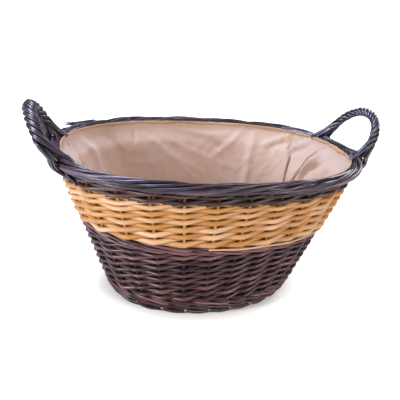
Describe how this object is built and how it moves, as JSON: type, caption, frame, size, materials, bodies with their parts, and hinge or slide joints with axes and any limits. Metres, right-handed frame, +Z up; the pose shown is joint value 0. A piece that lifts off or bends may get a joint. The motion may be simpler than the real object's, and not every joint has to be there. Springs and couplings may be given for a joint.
{
  "type": "laundry basket",
  "caption": "oval woven willow laundry basket in two tones, with flared walls, a rolled rim, roped bow handles and a stitched-in cotton liner",
  "frame": {"origin": "on the floor under the middle of the basket", "axes": "+Z up; +X along the basket's length, towards the right-hand handle; -Y is the front"},
  "size_m": [0.6701, 0.4334, 0.3765],
  "materials": {
    "stake_willow": "peeled willow, satin",
    "dark_willow": "unpeeled dark willow, satin bark",
    "natural_willow": "buff peeled willow, satin",
    "rim_willow": "unpeeled dark willow, satin bark",
    "foot_willow": "unpeeled dark willow, satin bark",
    "handle_willow": "unpeeled dark willow, satin bark",
    "base_willow": "buff willow, dull",
    "liner_cotton": "plain-woven cotton, matt",
    "hem_cotton": "folded cotton hem, matt"
  },
  "bodies": {
    "root": {"foot_border": "foot_willow", "base_stick_frame": "base_willow", "base_weave": "base_willow", "side_stake_01": "stake_willow", "side_stake_02": "stake_willow", "side_stake_03": "stake_willow", "side_stake_04": "stake_willow", "side_stake_05": "stake_willow", "side_stake_06": "stake_willow", "side_stake_07": "stake_willow", "side_stake_08": "stake_willow", "side_stake_09": "stake_willow", "side_stake_10": "stake_willow", "side_stake_11": "stake_willow", "side_stake_12": "stake_willow", "side_stake_13": "stake_willow", "side_stake_14": "stake_willow", "side_stake_15": "stake_willow", "side_stake_16": "stake_willow", "side_stake_17": "stake_willow", "side_stake_18": "stake_willow", "side_stake_19": "stake_willow", "side_stake_20": "stake_willow", "side_stake_21": "stake_willow", "side_stake_22": "stake_willow", "side_stake_23": "stake_willow", "side_stake_24": "stake_willow", "side_stake_25": "stake_willow", "side_stake_26": "stake_willow", "side_stake_27": "stake_willow", "side_stake_28": "stake_willow", "foot_wale": "foot_willow", "dark_weaver_1": "dark_willow", "dark_weaver_2": "dark_willow", "dark_weaver_3": "dark_willow", "dark_weaver_4": "dark_willow", "dark_weaver_5": "dark_willow", "dark_weaver_6": "dark_willow", "dark_weaver_7": "dark_willow", "dark_weaver_8": "dark_willow", "middle_wale": "dark_willow", "natural_weaver_1": "natural_willow", "natural_weaver_2": "natural_willow", "natural_weaver_3": "natural_willow", "natural_weaver_4": "natural_willow", "natural_weaver_5": "natural_willow", "natural_weaver_6": "natural_willow", "top_weaver_1": "dark_willow", "top_wale": "rim_willow", "rim_border": "rim_willow", "left_handle_bow": "handle_willow", "left_handle_strand_1": "handle_willow", "left_handle_strand_2": "handle_willow", "left_handle_strand_3": "handle_willow", "right_handle_bow": "handle_willow", "right_handle_strand_1": "handle_willow", "right_handle_strand_2": "handle_willow", "right_handle_strand_3": "handle_willow", "liner": "liner_cotton", "liner_hem": "hem_cotton"}
  },
  "joints": []
}
